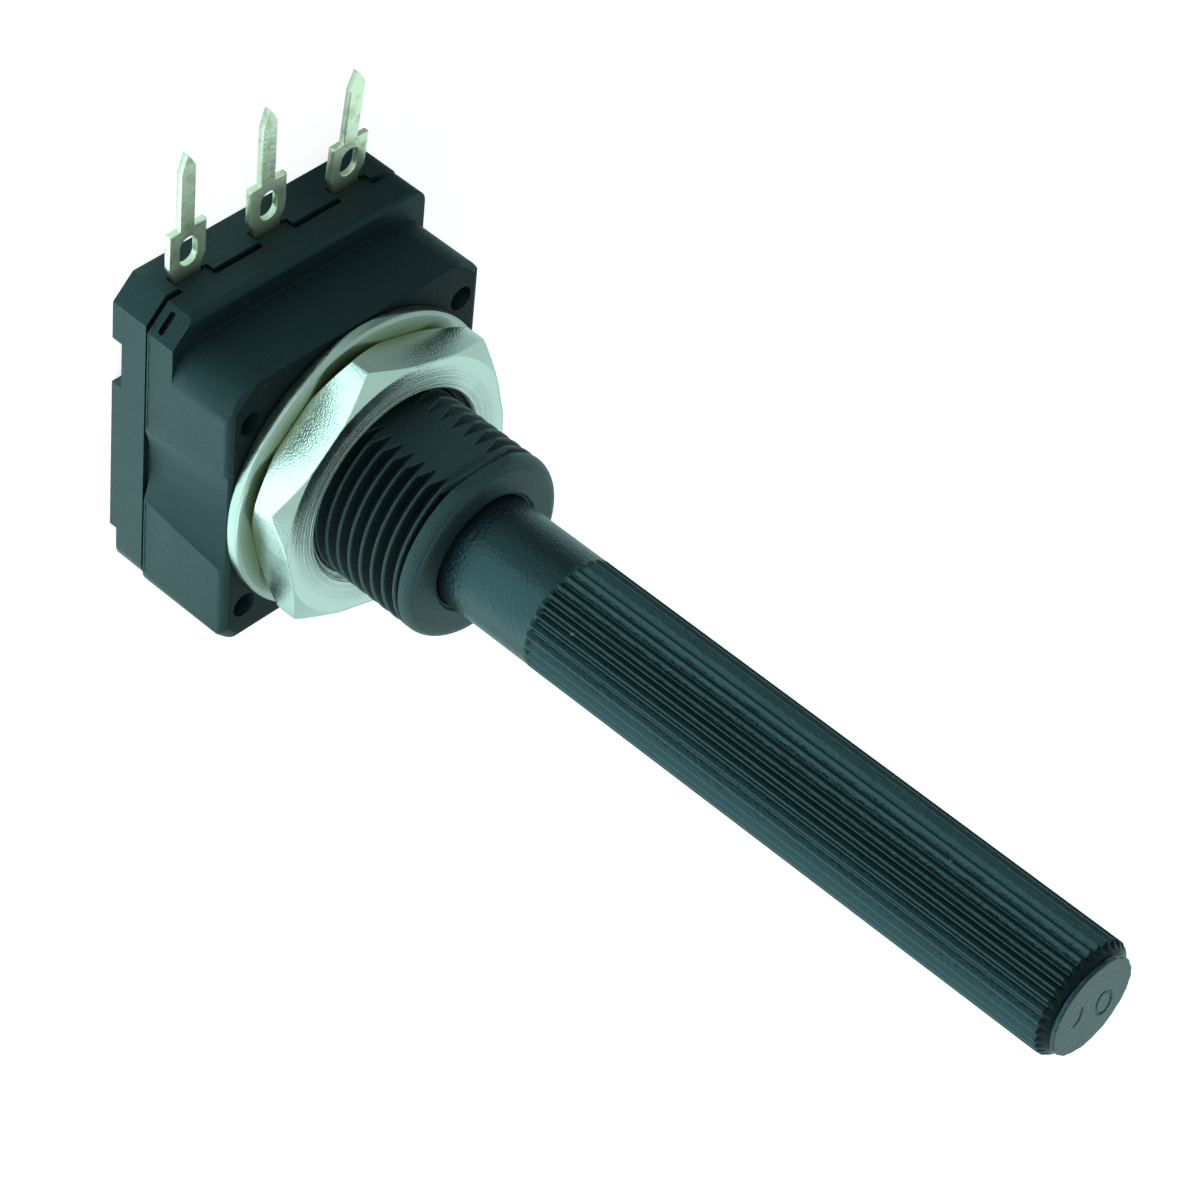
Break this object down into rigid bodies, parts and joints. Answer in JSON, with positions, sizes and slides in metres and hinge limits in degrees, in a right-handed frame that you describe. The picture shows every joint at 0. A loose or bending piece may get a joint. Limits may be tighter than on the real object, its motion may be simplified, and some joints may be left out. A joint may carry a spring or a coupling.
{
  "type": "rotary potentiometer",
  "caption": "Square moulded rotary potentiometer with a long splined spindle, threaded bush with washer and nut, and flat terminals with eyelets.",
  "frame": {"origin": "on the spindle's axis at the rear face of the cover", "axes": "+Z runs along the spindle to its tip, +Y points to the terminals, +X to the right as seen from the tip's side with the terminals up, so that the left terminal is at -X"},
  "size_m": [0.0162, 0.0248, 0.054],
  "materials": {
    "case": "fine matt moulded texture",
    "spindle": "smooth satin moulding",
    "terminal": "tinned, slightly dulled",
    "rivet": "tinned",
    "contact": "silvered, satin",
    "wafer": "matt resin-bonded paper",
    "carbon": "matt printed film",
    "washer": "bright plated, satin",
    "nut": "bright plated with concentric turning marks"
  },
  "bodies": {
    "housing": {"front_housing": "case", "rear_cover": "case", "track_board": "wafer", "carbon_track": "carbon", "collector_track": "contact", "end_pad_left": "contact", "end_pad_right": "contact", "terminal_left": "terminal", "terminal_centre": "terminal", "terminal_right": "terminal", "rivet_left": "rivet", "rivet_centre": "rivet", "rivet_right": "rivet"},
    "spindle": {"spindle": "spindle", "rotor": "spindle", "wiper": "contact"},
    "washer": {"washer": "washer"},
    "nut": {"nut": "nut"}
  },
  "joints": [
    {"name": "spindle_turn", "type": "hinge", "parent": "housing", "child": "spindle", "pos_m": [0, 0, 0], "axis": [0, 0, 1], "range_deg": [-150, 150]},
    {"name": "washer_slide", "type": "slide", "parent": "housing", "child": "washer", "axis": [0, 0, 1], "range_m": [0, 0.00525]},
    {"name": "nut_turn", "type": "hinge", "parent": "washer", "child": "nut", "pos_m": [0, 0, 0], "axis": [0, 0, 1], "range_deg": [0, 2520]}
  ],
  "couplings": [
    {"joint": "nut_turn", "follows": "washer_slide", "rad_per_m": 8377.6}
  ]
}
